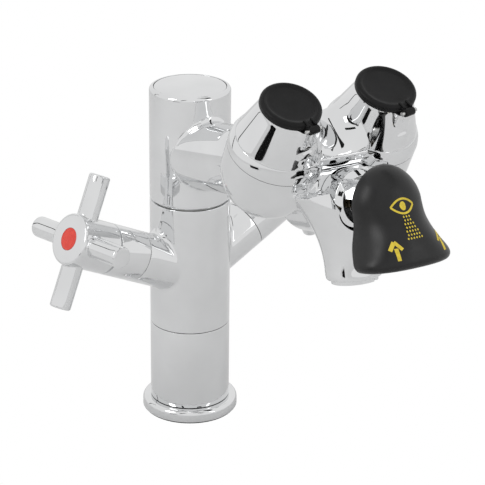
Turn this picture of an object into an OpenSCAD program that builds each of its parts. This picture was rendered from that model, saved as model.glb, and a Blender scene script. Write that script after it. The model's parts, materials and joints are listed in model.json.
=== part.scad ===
// Deck-mounted mixer tap with a swivelling twin-head eyewash unit and a lift lever.
// Origin: centre of the base on the deck. +Z is up and the spout points along -Y.

/* [Column] */
// Radius of the polished column
column_r = 24; // [22:0.5:30]
// Height of the lower sleeve above the base flange
sleeve_h = 50; // [40:1:90]
// Height of the mixer body between its two seams
mixer_h = 79; // [74:1:110]
// Height of the swivelling head of the column
swivel_h = 69.5; // [62:0.5:90]
// How far the base flange stands out from the column
flange_lip = 4.85; // [3:0.05:8]
// Height of the base flange
flange_h = 8; // [6:0.5:12]
// Thickness of the deck gasket
gasket_t = 1; // [0.5:0.1:2]

/* [Handles] */
// Angle between the handle arms and the spout's square position
arm_turn = 8.2; // [0:0.1:12]
// Angle at which the handle arms rise
arm_rise = 25.8; // [15:0.1:30]
// Height of the arm axis above the mixer body's lower seam
arm_h = 31.7; // [30:0.1:36]
// Radius of the arms, bonnets and handle hubs
arm_r = 15.2; // [13.5:0.1:18]
// Distance from the column axis to the end of each cast arm
stub_len = 46; // [44:1:60]
// Length of each bonnet
bonnet_len = 22.6; // [20:0.1:30]
// Length of each handle hub
hub_len = 27.9; // [24:0.1:36]
// Radius of the handle spokes
spoke_r = 6.25; // [5:0.05:7]
// Length of the spokes from the hub axis
spoke_len = 40; // [34:0.5:50]
// Radius of the index button in each handle
button_r = 6.7; // [5:0.1:8]
// Rest angle of the hot handle's spokes
hot_spoke_turn = 5; // [-20:1:20]
// Rest angle of the cold handle's spokes
cold_spoke_turn = 0; // [-20:1:20]

/* [Neck] */
// Radius of the neck between the column and the eyewash unit
neck_r = 20; // [19:0.5:22]
// Height of the neck axis above the swivel seam, at the column axis
neck_h = 27.8; // [26:0.1:32]
// Angle at which the neck rises
neck_rise = 14; // [8:0.5:18]
// Length of the neck from the column axis
neck_len = 111; // [105:1:118]

/* [Eyewash unit] */
// Distance from the column axis to the two heads
head_reach = 144.9; // [140:0.1:150]
// Height of the heads' seam above the swivel seam
head_h = 81.3; // [76:0.1:86]
// Half of the distance between the two heads
head_half = 29; // [28.6:0.1:34]
// Forward tilt of the heads
head_tilt = 25.7; // [18:0.1:30]
// Radius of the bowls at the seam
bowl_r = 26; // [25:0.1:28]
// Radius of the heads at the mouth
mouth_r = 15.8; // [14.5:0.1:17]
// Height of each head cover above the seam
bell_h = 29.7; // [26:0.1:33]
// Radius of the dust caps
cap_r = 16.5; // [15.5:0.1:18]
// Thickness of the dust caps
cap_t = 4; // [3:0.1:5]
// Radius of the spray nozzles
nozzle_r = 12; // [10:0.1:13]
// Angle of the cap hinges round the heads, from square to the spout
hinge_turn = 10; // [-20:1:20]

/* [Diverter and lever] */
// Distance from the column axis to the lever's rim
lever_reach = 203.7; // [200:0.1:210]
// Height of the lever's rim centre above the swivel seam
lever_h = 67; // [64:0.1:70]
// Angle at which the diverter axis rises
diverter_rise = 15; // [10:0.5:20]
// Radius of the casting's front boss
boss_r = 20; // [19:0.5:22]
// Radius of the chrome valve bonnet under the lever
valve_r = 16.4; // [15:0.1:17.4]
// Radius of the lever's rim
lever_r = 20.4; // [19.5:0.1:23]
// Half width of the lever's skirt
skirt_half = 27.5; // [22:0.5:30]
// Wall of the lever
lever_wall = 2.6; // [2:0.1:3.5]
// Travel of the diverter spool
spool_travel = 4.4; // [3:0.1:5]

/* [Outlet] */
// Distance from the column axis to the outlet
outlet_reach = 179.3; // [175:0.1:184]
// Height of the outlet above the swivel seam
outlet_h = 14.9; // [10:0.1:18]
// Forward tilt of the outlet
outlet_tilt = 14; // [8:0.5:20]
// Outer radius of the spout at the outlet
spout_r = 15.2; // [14.5:0.1:18]
// Radius of the aerator housing
aerator_r = 12.5; // [11.5:0.1:13.5]

/* [Fits] */
// Radial clearance of everything that turns or slides
run = 0.05; // [0.02:0.01:0.08]
// Gap between outer faces that meet at a visible seam
seam = 0.3; // [0.2:0.05:0.5]
// Wall of the cast shells
wall = 3; // [2.5:0.1:3.2]

/* [Hidden] */
$fn = 96;
hull_fn = 32;

// Heights of the seams
sleeve_top = flange_h + sleeve_h;
swivel_z = sleeve_top + mixer_h;
column_top = swivel_z + swivel_h;
arm_z = sleeve_top + arm_h;

// Inside of the column
spigot_d = 6;
sleeve_bore_r = column_r - wall - 2;
block_h = 15;
supply_at = 13.8;
inlet_at = 8.8;
supply_r = 3.9;
supply_bore_r = 2.9;
supply_seat = 6;
chamber_r = 8;
inlet_r = 4.6;
stud_r = 3.4;
stud_at = 13;

// Swivel
swivel_spigot_r = column_r - 9;
swivel_spigot_h = 16;
washer_t = 1.5;
ring_r = 0.9;
nut_flange_t = 3;
head_chamber_r = column_r - 4.5;
cap_seam_r = column_r - 2.45;
cap_disc_t = 4;
cap_thread_r = column_r - 6;
cap_thread_h = 10;
cap_dome = 1.2;
neck_bore_r = neck_r - wall - 2;

// Valves, measured along the arm from the column axis
cartridge_r = 10.3;
seat_at = 22;
disc_t = 2.4;
spindle_r = 4;
bonnet_end = stub_len + bonnet_len;
hub_end = bonnet_end + hub_len;
hub_gap = 0.3;
spoke_at = hub_end - 8.5;
spindle_end = bonnet_end + 16;
index_t = 2.4;
screw_head_r = 4.4;

// Eyewash unit, measured in the frame of the heads
bowl_flat = 13.4;
band_h = 8.5;
band_r = bowl_r - 2.4;
band_step = 0.5;
nozzle_seat = 15;
nozzle_foot_r = 15.5;
nozzle_top = 13;
nozzle_wall = 1.6;
plug_r = mouth_r - wall - 0.9;
hinge_pin_r = 1;
hinge_y = -(cap_r + 2.6);
hinge_h = bell_h + cap_t / 2 + 0.3;
hinge_half = 3;
ear_t = 2;

// Diverter, measured along its axis from the centre of the lever's rim
boss_front = -36;
valve_bore_r = 12;
valve_back = -74;
valve_front = -9;
bonnet_root = boss_front - 12;
spool_r = 6.5;
stem_r = 2.6;
pivot_up = 8;
pivot_w = -1.5;
pivot_r = 1.9;
tongue_half = 2.6;
ear_in = 8;
ear_out = 11.6;
pin_slot_gap = 0.35;
spool_back = valve_back + 9;
spool_len = 18;
spool_front = spool_back + spool_len;
clevis_half = tongue_half + 3.2;

/* Frames */

// Z runs outwards along an arm; side is -1 for hot and +1 for cold
module arm_frame(side) {
    translate([0, 0, arm_z]) rotate([0, 0, arm_turn + (side < 0 ? 180 : 0)])
        rotate([0, 90 - arm_rise, 0]) children();
}

// Z runs out along the neck from the column axis
module neck_frame() {
    translate([0, 0, swivel_z + neck_h]) rotate([90 - neck_rise, 0, 0]) children();
}

// Z runs out of the heads' mouths, and z = 0 is the seam under the head cover
module head_frame() {
    translate([0, -head_reach, swivel_z + head_h]) rotate([head_tilt, 0, 0]) children();
}

module at_head(side) {
    head_frame() translate([side * head_half, 0, 0]) children();
}

// X runs along a dust cap's hinge pin
module at_hinge(side) {
    at_head(side) rotate([0, 0, hinge_turn]) translate([0, hinge_y, hinge_h]) children();
}

// Z runs forwards along the diverter, Y is up, and z = 0 is the lever's rim
module diverter_frame() {
    translate([0, -lever_reach, swivel_z + lever_h]) rotate([90 - diverter_rise, 0, 0]) children();
}

// Z runs down out of the spout, and z = 0 is the aerator's lower face
module outlet_frame() {
    translate([0, -outlet_reach, swivel_z + outlet_h]) rotate([180 - outlet_tilt, 0, 0]) children();
}

/* Shapes that repeat */

module ring(r_out, r_in, h) {
    rotate_extrude() translate([r_in, 0]) square([r_out - r_in, h]);
}

module tube_at(r_out, r_in, from, to) {
    translate([0, 0, from]) ring(r_out, r_in, to - from);
}

module rod(r, from, to) {
    translate([0, 0, from]) cylinder(r = r, h = to - from);
}

module cross_rod(r, from, to) {
    translate([from, 0, 0]) rotate([0, 90, 0]) cylinder(r = r, h = to - from);
}

module o_ring(centre_r, section_r) {
    rotate_extrude() translate([centre_r, 0]) circle(r = section_r, $fn = 24);
}

// Cylinder with a rounded upper edge
module soft_disc(r, h, round_r) {
    rotate_extrude() {
        square([r - round_r, h]);
        square([r, h - round_r]);
        translate([r - round_r, h - round_r]) intersection() {
            circle(r = round_r, $fn = 48);
            square(round_r);
        }
    }
}

/* Base and lower sleeve */

module deck_gasket() {
    color("black") ring(column_r + flange_lip - 1, sleeve_bore_r, gasket_t);
}

module base_flange() {
    color("silver") translate([0, 0, gasket_t]) difference() {
        soft_disc(column_r + flange_lip, flange_h - gasket_t, 3);
        rod(column_r - 2.7, -1, flange_h);
    }
}

module inlet_block() {
    seat = block_h - supply_seat;
    color("goldenrod") difference() {
        rod(sleeve_bore_r - run, 0, block_h);
        rotate([0, 0, arm_turn]) for (s = [-1, 1]) {
            translate([s * inlet_at, 0, 0]) rod(inlet_r, -1, seat - 1);
            translate([s * supply_at, 0, 0]) {
                rod(supply_r + run, seat, block_h + 1);
                rod(supply_bore_r, seat - 2.5, seat + 1);
            }
        }
        for (s = [-1, 1]) translate([0, s * stud_at, 0]) rod(stud_r, -1, block_h + 1);
    }
}

module lower_sleeve() {
    color("silver") {
        tube_at(column_r, sleeve_bore_r, flange_h + seam, sleeve_top);
        tube_at(column_r - 2.75, sleeve_bore_r, gasket_t, flange_h + seam);
    }
}

module supply_tube(side) {
    color("peru") rotate([0, 0, arm_turn]) translate([side * supply_at, 0, 0])
        tube_at(supply_r, supply_bore_r, block_h - supply_seat, sleeve_top);
}

/* Mixer body */

module arm_cavity(side) {
    arm_frame(side) {
        rod(cartridge_r + run, seat_at, stub_len + 1);
        rod(3.5, 0, seat_at + 1);
    }
}

module mixer_body() {
    spigot_top = swivel_z + swivel_spigot_h;
    color("silver") difference() {
        union() {
            rod(column_r, sleeve_top + seam, swivel_z);
            rod(sleeve_bore_r - run, sleeve_top - spigot_d, sleeve_top + seam);
            rod(swivel_spigot_r, swivel_z, spigot_top);
            for (side = [-1, 1]) arm_frame(side) {
                rod(arm_r, 0, stub_len - seam);
                translate([0, 0, column_r - 2]) cylinder(r1 = arm_r + 2.5, r2 = arm_r, h = 8);
            }
        }
        for (side = [-1, 1]) {
            arm_cavity(side);
            rotate([0, 0, arm_turn]) translate([side * supply_at, 0, 0]) {
                rod(supply_r + run, sleeve_top - spigot_d - 1, sleeve_top);
                rod(supply_bore_r, sleeve_top - 1, arm_z + 4);
            }
        }
        rod(chamber_r, arm_z, spigot_top + 1);
        translate([0, 0, swivel_z - washer_t + seam]) ring(column_r - 2, swivel_spigot_r, washer_t);
        for (z = [5, 11]) translate([0, 0, swivel_z + z - ring_r - 0.1])
            ring(swivel_spigot_r + 1, swivel_spigot_r - 2 * ring_r, 2 * ring_r + 0.2);
    }
}

/* Swivel */

module swivel_washer() {
    color("white") translate([0, 0, swivel_z - washer_t + seam])
        ring(column_r - 2.1, swivel_spigot_r + 0.3, washer_t);
}

module swivel_seals() {
    color("dimgray") for (z = [5, 11]) translate([0, 0, swivel_z + z])
        o_ring(swivel_spigot_r - ring_r, ring_r);
}

module swivel_nut() {
    top = swivel_z + swivel_spigot_h;
    color("goldenrod") {
        tube_at(chamber_r - run, chamber_r - 2.5, top - 10, top + nut_flange_t);
        tube_at(swivel_spigot_r + 2.4, chamber_r - 2.5, top + 0.1, top + nut_flange_t);
    }
}

module swivel_column() {
    bottom = swivel_z + seam + 0.05;
    ledge = swivel_z + swivel_spigot_h - 0.1;
    color("silver") difference() {
        translate([0, 0, bottom]) soft_disc(column_r, column_top - bottom, 2.2);
        rod(swivel_spigot_r + run, bottom - 1, ledge + 1);
        rod(head_chamber_r, ledge, column_top - cap_disc_t - cap_thread_h);
        rod(cap_thread_r + run, column_top - 20, column_top + 1);
        rod(cap_seam_r, column_top - cap_disc_t, column_top + 1);
        neck_frame() rod(neck_bore_r, 10, neck_len + 1);
    }
}

module neck_tube() {
    color("silver") difference() {
        neck_frame() rod(neck_r, 0, neck_len);
        rod(column_r, swivel_z - 20, column_top + 20);
        neck_frame() rod(neck_bore_r, 10, neck_len + 1);
    }
}

module cap_seal() {
    color("dimgray") translate([0, 0, column_top - cap_disc_t - cap_thread_h + 3])
        o_ring(cap_thread_r - ring_r, ring_r);
}

module column_cap() {
    seal_z = column_top - cap_disc_t - cap_thread_h + 3;
    color("silver") {
        difference() {
            rod(cap_thread_r, column_top - cap_disc_t - cap_thread_h, column_top - cap_disc_t);
            rod(cap_thread_r - 4, column_top - 40, column_top - cap_disc_t - 2);
            translate([0, 0, seal_z - ring_r - 0.1])
                ring(cap_thread_r + 1, cap_thread_r - 2 * ring_r - 0.05, 2 * ring_r + 0.2);
        }
        translate([0, 0, column_top - cap_disc_t]) soft_disc(cap_seam_r - 0.12, cap_disc_t, 0.6);
        translate([0, 0, column_top]) cylinder(r1 = cap_seam_r - 1.2, r2 = cap_seam_r - 8, h = cap_dome);
    }
}

/* Valves and handles */

module bonnet(side) {
    color("silver") arm_frame(side) {
        tube_at(arm_r, cartridge_r + run, stub_len, bonnet_end - hub_gap - 4);
        tube_at(arm_r, spindle_r + 2, bonnet_end - hub_gap - 4, bonnet_end - hub_gap);
    }
}

module cartridge(side) {
    color("goldenrod") arm_frame(side) difference() {
        rod(cartridge_r, seat_at + disc_t, bonnet_end - 5);
        rod(cartridge_r - 1.6, seat_at, seat_at + 3 * disc_t);
        rod(spindle_r + run, seat_at, bonnet_end);
    }
}

module half_moon_disc(r) {
    difference() {
        cylinder(r = r, h = disc_t);
        for (a = [0, 180]) rotate([0, 0, a]) translate([0, r * 0.5, 0]) rod(r * 0.28, -1, disc_t + 1);
    }
}

module fixed_disc(side) {
    color("white") arm_frame(side) translate([0, 0, seat_at]) half_moon_disc(cartridge_r - 0.2);
}

module moving_disc(side) {
    color("white") arm_frame(side) translate([0, 0, seat_at + disc_t + 0.02])
        half_moon_disc(cartridge_r - 1.75);
}

module spindle(side) {
    color("goldenrod") arm_frame(side) difference() {
        union() {
            rod(spindle_r, seat_at + 3 * disc_t - 2, spindle_end);
            rod(cartridge_r - 2, seat_at + 2 * disc_t + 0.02, seat_at + 3 * disc_t - 0.1);
        }
        rod(1.6, spindle_end - 10, spindle_end + 1);
    }
}

module handle(side, turn) {
    color("silver") arm_frame(side) rotate([0, 0, turn]) difference() {
        union() {
            translate([0, 0, bonnet_end]) soft_disc(arm_r, hub_len, 1.6);
            for (a = [0:90:270]) rotate([0, 0, a]) translate([0, 0, spoke_at]) rotate([0, 90, 0])
                soft_disc(spoke_r, spoke_len, 1.8);
        }
        rod(spindle_r + run, bonnet_end - 1, spindle_end);
        rod(1.75, spindle_end - 1, hub_end);
        rod(button_r, spindle_end + 2.5, hub_end + 1);
    }
}

module handle_screw(side) {
    color("gray") arm_frame(side) difference() {
        union() {
            rod(1.55, spindle_end - 9, spindle_end + 3);
            rod(screw_head_r, spindle_end + 2.5, spindle_end + 6);
        }
        translate([0, 0, spindle_end + 4]) cylinder(r = 1.8, h = 5, $fn = 6);
    }
}

module index_button(side, tint) {
    color(tint) arm_frame(side) translate([0, 0, hub_end - index_t])
        soft_disc(button_r - 0.1, index_t + 0.2, 0.4);
}

/* Eyewash casting */

module bowl() {
    rod(bowl_r, -bowl_flat, 0);
    translate([0, 0, -bowl_flat]) sphere(r = bowl_r);
}

module neck_spigot() {
    neck_frame() difference() {
        rod(neck_bore_r - 0.1, neck_len - 12, neck_len + 14);
        translate([0, 0, neck_len - 6 - ring_r - 0.1])
            ring(neck_r, neck_bore_r - 0.1 - 2 * ring_r, 2 * ring_r + 0.2);
    }
}

module casting_outside() {
    for (side = [-1, 1]) at_head(side) bowl();
    neck_frame() rod(neck_r, neck_len + seam, neck_len + 34);
    neck_spigot();
    diverter_frame() rod(boss_r, valve_back, boss_front);
    head_frame() translate([0, 0, -17]) cross_rod(19, -head_half, head_half);
    outlet_frame() {
        rod(spout_r, -50, -3);
        translate([0, -2, -42]) cylinder(r1 = spout_r + 8, r2 = spout_r - 1, h = 28);
    }
}

module eyewash_body() {
    color("silver") difference() {
        casting_outside();
        head_frame() translate([-100, -60, 0]) cube([200, 120, 60]);
        for (side = [-1, 1]) at_head(side) {
            rod(nozzle_foot_r + run, -nozzle_seat, 1);
            rod(8, -nozzle_seat - 6, 1);
        }
        head_frame() translate([0, 0, -nozzle_seat - 3]) cross_rod(4, -head_half, head_half);
        diverter_frame() {
            rod(valve_bore_r, valve_back + 6, boss_front + 1);
            rod(valve_r - 2 + run, bonnet_root, boss_front + 1);
            rod(valve_r + seam, boss_front, 0);
        }
        neck_frame() rod(9, neck_len - 14, neck_len + 44);
        outlet_frame() {
            rod(9, -34, 0);
            rod(aerator_r + run, -16, 0);
        }
    }
}

module neck_seal() {
    color("dimgray") neck_frame() translate([0, 0, neck_len - 6])
        o_ring(neck_bore_r - 0.1 - ring_r, ring_r);
}

/* Head cover, nozzles and dust caps */

// Cover of one head: a cone that stands on a wider band
module bell(r_seam, r_band, r_mouth, h) {
    rotate_extrude() polygon([[0, 0], [r_seam, 0], [r_band + band_step, band_h], [r_band, band_h],
                              [r_mouth, h], [0, h]]);
}

// Web between the two heads, shrunk by inset for the hollow
module saddle(inset) {
    foot = inset > 0 ? -1 : 0;
    rotate([90, 0, 90]) translate([0, 0, -14]) linear_extrude(28) polygon([
        [inset - 19, foot], [inset - 19, band_h - inset], [inset - 17, band_h + 1 - inset],
        [-8, 11.5 - inset], [0, 13.5 - inset], [9 - inset / 2, 13.5 - inset],
        [14 - inset, 9 - inset / 2], [14 - inset, foot]]);
}

// Fork on the front of a head that holds the cap's hinge pin
module hinge_fork(side) {
    half = hinge_half + ear_t;
    at_hinge(side) difference() {
        union() {
            cross_rod(2.3, -half, half);
            translate([-half, -2.3, -12]) cube([2 * half, 8, 12]);
        }
        translate([-hinge_half - run, -6, -3]) cube([2 * (hinge_half + run), 16, 8]);
    }
}

module head_cover() {
    mouth_bore = mouth_r - 2.2;
    color("silver") difference() {
        union() {
            for (side = [-1, 1]) {
                at_head(side) translate([0, 0, seam]) bell(bowl_r, band_r, mouth_r, bell_h - seam);
                hinge_fork(side);
            }
            head_frame() translate([0, 0, seam]) saddle(0);
        }
        for (side = [-1, 1]) {
            at_head(side) {
                translate([0, 0, seam - 0.01]) bell(bowl_r - wall, band_r - wall, mouth_bore, bell_h);
                rod(mouth_bore, bell_h - 2, bell_h + 9);
                rod(cap_r + 0.5, bell_h, bell_h + 12);
            }
            at_hinge(side) cross_rod(hinge_pin_r + run, -9, 9);
        }
        head_frame() saddle(wall);
    }
}

module nozzle(side) {
    bore = nozzle_r - nozzle_wall;
    color("dimgray") at_head(side) difference() {
        union() {
            rod(nozzle_foot_r, -nozzle_seat, -nozzle_seat + 6);
            rod(nozzle_r, -nozzle_seat, nozzle_top);
            tube_at(nozzle_foot_r, nozzle_r - 1, -3, 1);
        }
        rod(7, -nozzle_seat - 1, 0);
        rod(bore, -6, nozzle_top + 1);
    }
}

module spray_face(side) {
    color("whitesmoke") at_head(side) difference() {
        translate([0, 0, nozzle_top - 4]) cylinder(r = nozzle_r - nozzle_wall - run, h = 3);
        for (a = [0:45:315]) rotate([0, 0, a]) translate([6.5, 0, 0]) rod(0.8, nozzle_top - 5, nozzle_top);
        for (a = [0:90:270]) rotate([0, 0, a]) translate([3, 0, 0]) rod(0.8, nozzle_top - 5, nozzle_top);
    }
}

module strainer(side) {
    color("gray") at_head(side) translate([0, 0, -6]) ring(nozzle_r - nozzle_wall - run, 2, 1.2);
}

module dust_cap(side) {
    color("black") difference() {
        union() {
            at_head(side) {
                translate([0, 0, bell_h + seam]) soft_disc(cap_r, cap_t, 1.6);
                tube_at(plug_r, plug_r - 1.4, bell_h - 1.8, bell_h + seam + 1);
            }
            at_hinge(side) {
                translate([-hinge_half, 0, bell_h + seam - hinge_h]) cube([2 * hinge_half, 6, cap_t - 0.6]);
                cross_rod(2.2, -hinge_half, hinge_half);
            }
        }
        at_hinge(side) cross_rod(hinge_pin_r + run, -9, 9);
    }
}

module cap_pin(side) {
    color("gray") at_hinge(side) cross_rod(hinge_pin_r, -hinge_half - ear_t, hinge_half + ear_t);
}

/* Diverter valve */

module valve_bonnet() {
    color("silver") diverter_frame() difference() {
        union() {
            rod(valve_r - 2, bonnet_root, boss_front + 2);
            rod(valve_r, boss_front + seam, valve_front - 12);
            translate([0, 0, valve_front - 12]) cylinder(r1 = valve_r, r2 = valve_r - 3, h = 3);
            for (x = [-ear_out, ear_in]) translate([x, pivot_up - 5, valve_front - 12])
                cube([ear_out - ear_in, 10, pivot_w - valve_front + 16]);
        }
        rod(valve_bore_r, bonnet_root - 1, boss_front);
        rod(9.4, bonnet_root - 1, valve_front);
        translate([0, pivot_up, pivot_w]) cross_rod(pivot_r, -20, 20);
    }
}

module valve_body() {
    color("goldenrod") diverter_frame() difference() {
        rod(valve_bore_r - run, valve_back + 6, boss_front - 1);
        rod(spool_r + run, spool_back - 1, spool_front + spool_travel + 0.6);
        rod(stem_r + run, boss_front - 8, boss_front);
        for (w = [valve_back + 16, boss_front - 16]) translate([0, 0, w]) {
            cross_rod(2.6, -20, 20);
            rotate([0, 0, 90]) cross_rod(2.6, -20, 20);
        }
    }
}

module valve_spool() {
    slot_half = tongue_half + 0.4;
    color("goldenrod") diverter_frame() difference() {
        union() {
            rod(spool_r, spool_back, spool_front);
            rod(stem_r, spool_front, pivot_w - 6.2);
            difference() {
                translate([-clevis_half, -3.5, pivot_w - 7.2]) cube([2 * clevis_half, 5.8, 9.7]);
                translate([-slot_half, -5, pivot_w - 5.8]) cube([2 * slot_half, 10, 10]);
            }
        }
        for (w = [4, 14]) translate([0, 0, spool_back + w - ring_r - 0.1])
            ring(spool_r + 1, spool_r - 2 * ring_r, 2 * ring_r + 0.2);
        translate([0, 0, pivot_w]) cross_rod(1.5, -9, 9);
    }
}

module spool_seals() {
    color("dimgray") diverter_frame() for (w = [4, 14]) translate([0, 0, spool_back + w])
        o_ring(spool_r - ring_r, ring_r);
}

module spool_pin() {
    color("gray") diverter_frame() translate([0, 0, pivot_w])
        cross_rod(1.5, -clevis_half, clevis_half);
}

/* Lever */

module lever_pin() {
    color("gray") diverter_frame() translate([0, pivot_up, pivot_w]) cross_rod(pivot_r, -ear_out, ear_out);
}

module lever_yoke() {
    color("gray") diverter_frame() difference() {
        union() {
            translate([0, pivot_up, pivot_w]) cross_rod(5, -ear_in + 0.3, ear_in - 0.3);
            translate([-tongue_half, -3, pivot_w - 3.2]) cube([2 * tongue_half, pivot_up + 3, 6.6]);
            translate([-4, pivot_up - 4, pivot_w]) cube([8, 8, 13]);
        }
        translate([0, pivot_up, pivot_w]) cross_rod(pivot_r + run, -9, 9);
        translate([-tongue_half - 1, -4, pivot_w - 1.5 - pin_slot_gap])
            cube([2 * tongue_half + 2, 6.2, 3 + 2 * pin_slot_gap]);
        translate([0, pivot_up, pivot_w + 9]) rotate([90, 0, 0]) cylinder(r = 1.6, h = 12, center = true);
    }
}

// Dome of the lever, shrunk by inset for the hollow
module lever_dome(inset) {
    hull() {
        rod(lever_r - inset, -1, 1);
        translate([0, 3.4, 2]) sphere(r = 17.6 - inset, $fn = hull_fn);
        translate([0, -4, 9]) sphere(r = 13.5 - inset, $fn = hull_fn);
    }
}

// Skirt of the lever, shrunk by inset for the hollow
module lever_skirt(inset) {
    hull() {
        translate([0, -4, 8]) sphere(r = 14.5 - inset, $fn = hull_fn);
        for (s = [-1, 1]) {
            translate([s * (skirt_half - 6), -24, 9]) sphere(r = 6 - inset, $fn = hull_fn);
            translate([s * 9, -24.5, 23]) sphere(r = 6 - inset, $fn = hull_fn);
        }
    }
}

module lever() {
    socket = 4.1;
    color([0.12, 0.12, 0.13]) diverter_frame() difference() {
        union() {
            difference() {
                union() {
                    lever_dome(0);
                    lever_skirt(0);
                }
                lever_dome(lever_wall);
                for (back = [0, -9]) translate([0, 0, back]) lever_skirt(lever_wall);
            }
            intersection() {
                translate([-7, pivot_up - 7, pivot_w + 5]) cube([14, 14, 30]);
                lever_dome(1);
            }
        }
        translate([-50, -50, -30]) cube([100, 100, 30]);
        translate([-socket, pivot_up - socket, pivot_w]) cube([2 * socket, 2 * socket, 13.1]);
        translate([0, pivot_up, pivot_w + 9]) rotate([90, 0, 0]) cylinder(r = 1.6, h = 20, center = true);
    }
}

module lever_screw() {
    color("gray") diverter_frame() translate([0, pivot_up, pivot_w + 9]) rotate([90, 0, 0])
        cylinder(r = 1.55, h = 8, center = true);
}

/* Outlet */

module aerator_housing() {
    color("silver") outlet_frame() difference() {
        union() {
            tube_at(aerator_r, aerator_r - 1.6, -12, 0);
            tube_at(aerator_r, aerator_r - 3, -2, 0);
        }
        for (a = [0, 180]) rotate([0, 0, a + 60]) translate([aerator_r, 0, 0])
            cube([2.4, 3, 4], center = true);
    }
}

module aerator_insert() {
    color("whitesmoke") outlet_frame() difference() {
        rod(aerator_r - 1.65, -12, -7);
        for (a = [0:60:300]) rotate([0, 0, a]) translate([6, 0, 0]) rod(1.2, -13, -5);
        rod(1.2, -13, -5);
    }
}

module aerator_washer() {
    color("dimgray") outlet_frame() tube_at(aerator_r, aerator_r - 3.5, -14, -12);
}

deck_gasket();
base_flange();
inlet_block();
lower_sleeve();
supply_tube(-1);  // hot_supply_tube
supply_tube(1);  // cold_supply_tube
mixer_body();
swivel_washer();
swivel_seals();
swivel_nut();
swivel_column();
neck_tube();
cap_seal();
column_cap();
bonnet(-1);  // hot_bonnet
bonnet(1);  // cold_bonnet
cartridge(-1);  // hot_cartridge
cartridge(1);  // cold_cartridge
fixed_disc(-1);  // hot_fixed_disc
fixed_disc(1);  // cold_fixed_disc
moving_disc(-1);  // hot_moving_disc
moving_disc(1);  // cold_moving_disc
spindle(-1);  // hot_spindle
spindle(1);  // cold_spindle
handle(-1, hot_spoke_turn);  // hot_handle
handle(1, cold_spoke_turn);  // cold_handle
handle_screw(-1);  // hot_handle_screw
handle_screw(1);  // cold_handle_screw
index_button(-1, "red");  // hot_index
index_button(1, "blue");  // cold_index
eyewash_body();
neck_seal();
head_cover();
nozzle(-1);  // left_nozzle
nozzle(1);  // right_nozzle
spray_face(-1);  // left_spray_face
spray_face(1);  // right_spray_face
strainer(-1);  // left_strainer
strainer(1);  // right_strainer
dust_cap(-1);  // left_dust_cap
dust_cap(1);  // right_dust_cap
cap_pin(-1);  // left_cap_pin
cap_pin(1);  // right_cap_pin
valve_bonnet();
valve_body();
valve_spool();
spool_seals();
spool_pin();
lever_yoke();
lever_pin();
lever();
lever_screw();
aerator_housing();
aerator_insert();
aerator_washer();
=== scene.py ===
import bpy
import json
import math
from mathutils import Matrix, Vector


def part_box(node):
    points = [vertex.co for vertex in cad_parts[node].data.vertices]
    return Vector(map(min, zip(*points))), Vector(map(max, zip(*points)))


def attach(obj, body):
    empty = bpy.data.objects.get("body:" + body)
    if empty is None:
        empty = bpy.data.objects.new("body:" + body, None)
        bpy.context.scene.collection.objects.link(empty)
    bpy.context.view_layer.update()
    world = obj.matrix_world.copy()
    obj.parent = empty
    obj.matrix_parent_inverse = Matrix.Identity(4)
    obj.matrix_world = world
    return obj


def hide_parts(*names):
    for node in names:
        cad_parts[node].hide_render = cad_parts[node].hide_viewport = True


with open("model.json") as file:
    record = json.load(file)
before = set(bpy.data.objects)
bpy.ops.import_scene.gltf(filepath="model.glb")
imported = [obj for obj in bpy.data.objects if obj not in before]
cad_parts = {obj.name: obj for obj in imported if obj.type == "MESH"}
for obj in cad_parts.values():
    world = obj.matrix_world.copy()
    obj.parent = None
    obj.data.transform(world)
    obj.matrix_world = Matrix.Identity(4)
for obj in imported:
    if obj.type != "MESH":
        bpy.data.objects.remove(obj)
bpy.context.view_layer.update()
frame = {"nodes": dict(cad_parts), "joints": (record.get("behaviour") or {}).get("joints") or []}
nodes = frame["nodes"]
joints = {j["name"]: j for j in frame["joints"]}
mm = 0.001

# ---------------------------------------------------------------------------- base flange and lower sleeve
# The tap stands on a turned brass flange, and a plain brass sleeve hides the inlets above it.
# Both are polished and chrome plated: a hard, bright skin with a few dried water marks on it.


def speckled(tree, size, low, high, detail=4.0, lengthways=1.0):
    """A value between low and high that wanders over the surface in patches of about that size."""
    place = tree.nodes.new("ShaderNodeTexCoord")
    turn = tree.nodes.new("ShaderNodeMapping")
    turn.inputs["Scale"].default_value = (1, 1, 1 / lengthways)
    noise = tree.nodes.new("ShaderNodeTexNoise")
    noise.inputs["Scale"].default_value = 1 / size
    noise.inputs["Detail"].default_value = detail
    span = tree.nodes.new("ShaderNodeMapRange")
    span.inputs["From Min"].default_value = 0.3
    span.inputs["From Max"].default_value = 0.7
    span.inputs["To Min"].default_value = low
    span.inputs["To Max"].default_value = high
    tree.links.new(place.outputs["Object"], turn.inputs["Vector"])
    tree.links.new(turn.outputs["Vector"], noise.inputs["Vector"])
    tree.links.new(noise.outputs["Fac"], span.inputs["Value"])
    return span.outputs["Result"]


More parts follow.
